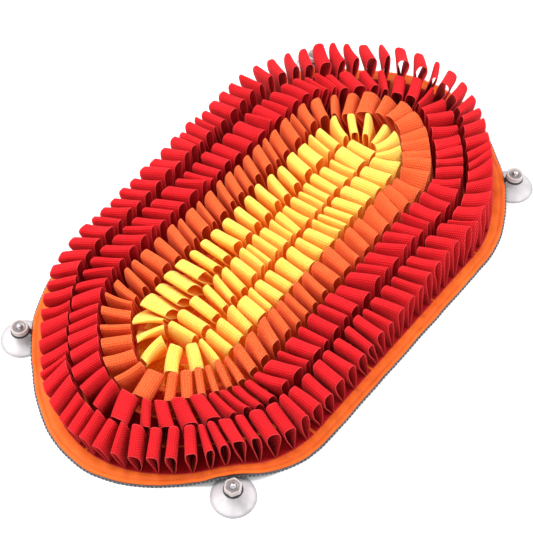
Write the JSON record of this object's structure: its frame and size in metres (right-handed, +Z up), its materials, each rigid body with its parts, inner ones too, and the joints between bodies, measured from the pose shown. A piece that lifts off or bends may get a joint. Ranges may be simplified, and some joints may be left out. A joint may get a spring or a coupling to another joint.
{
  "type": "snuffle mat",
  "caption": "Oval snuffle mat for dogs: rings of pleated ribbon loops in red, orange and yellow on a cloth base, with a suction cup at each corner.",
  "frame": {"origin": "on the surface that the mat rests on, under the middle of its bounding box", "axes": "+X along the long side, towards the end at the picture's upper right; +Z up, out of the loops"},
  "size_m": [0.5504, 0.3104, 0.0536],
  "materials": {
    "red_ribbon": "matt woven ribbon",
    "orange_ribbon": "matt woven ribbon",
    "yellow_ribbon": "matt woven ribbon",
    "orange_cloth": "smooth plain weave with a slight sheen",
    "backing_mesh": "open knit with raised grip dots",
    "clear_plastic": "clear, soft and glossy",
    "steel": "bright",
    "black_elastic": "woven elastic"
  },
  "bodies": {
    "root": {"base_backing": "backing_mesh", "base_cloth": "orange_cloth", "red_outer_left_tip": "red_ribbon", "red_outer_far_corner_a": "red_ribbon", "red_outer_far_a": "red_ribbon", "red_outer_far_b": "red_ribbon", "red_outer_far_c": "red_ribbon", "red_outer_far_corner_b": "red_ribbon", "red_outer_right_tip": "red_ribbon", "red_outer_near_corner_a": "red_ribbon", "red_outer_near_a": "red_ribbon", "red_outer_near_b": "red_ribbon", "red_outer_near_c": "red_ribbon", "red_outer_near_corner_b": "red_ribbon", "red_inner_left_far": "red_ribbon", "red_inner_far": "red_ribbon", "red_inner_right_far": "red_ribbon", "red_inner_right_near": "red_ribbon", "red_inner_near": "red_ribbon", "red_inner_left_near": "red_ribbon", "orange_left_far": "orange_ribbon", "orange_far": "orange_ribbon", "orange_right": "orange_ribbon", "orange_near": "orange_ribbon", "orange_left_near": "orange_ribbon", "yellow_far": "yellow_ribbon", "yellow_right": "yellow_ribbon", "yellow_near": "yellow_ribbon", "yellow_left": "yellow_ribbon", "yellow_centre": "yellow_ribbon", "cup_left_far": "clear_plastic", "screw_left_far": "steel", "nut_left_far": "clear_plastic", "strap_left_far": "black_elastic", "cup_left_near": "clear_plastic", "screw_left_near": "steel", "nut_left_near": "clear_plastic", "strap_left_near": "black_elastic", "cup_right_near": "clear_plastic", "screw_right_near": "steel", "nut_right_near": "clear_plastic", "strap_right_near": "black_elastic", "cup_right_far": "clear_plastic", "screw_right_far": "steel", "nut_right_far": "clear_plastic", "strap_right_far": "black_elastic"}
  },
  "joints": []
}
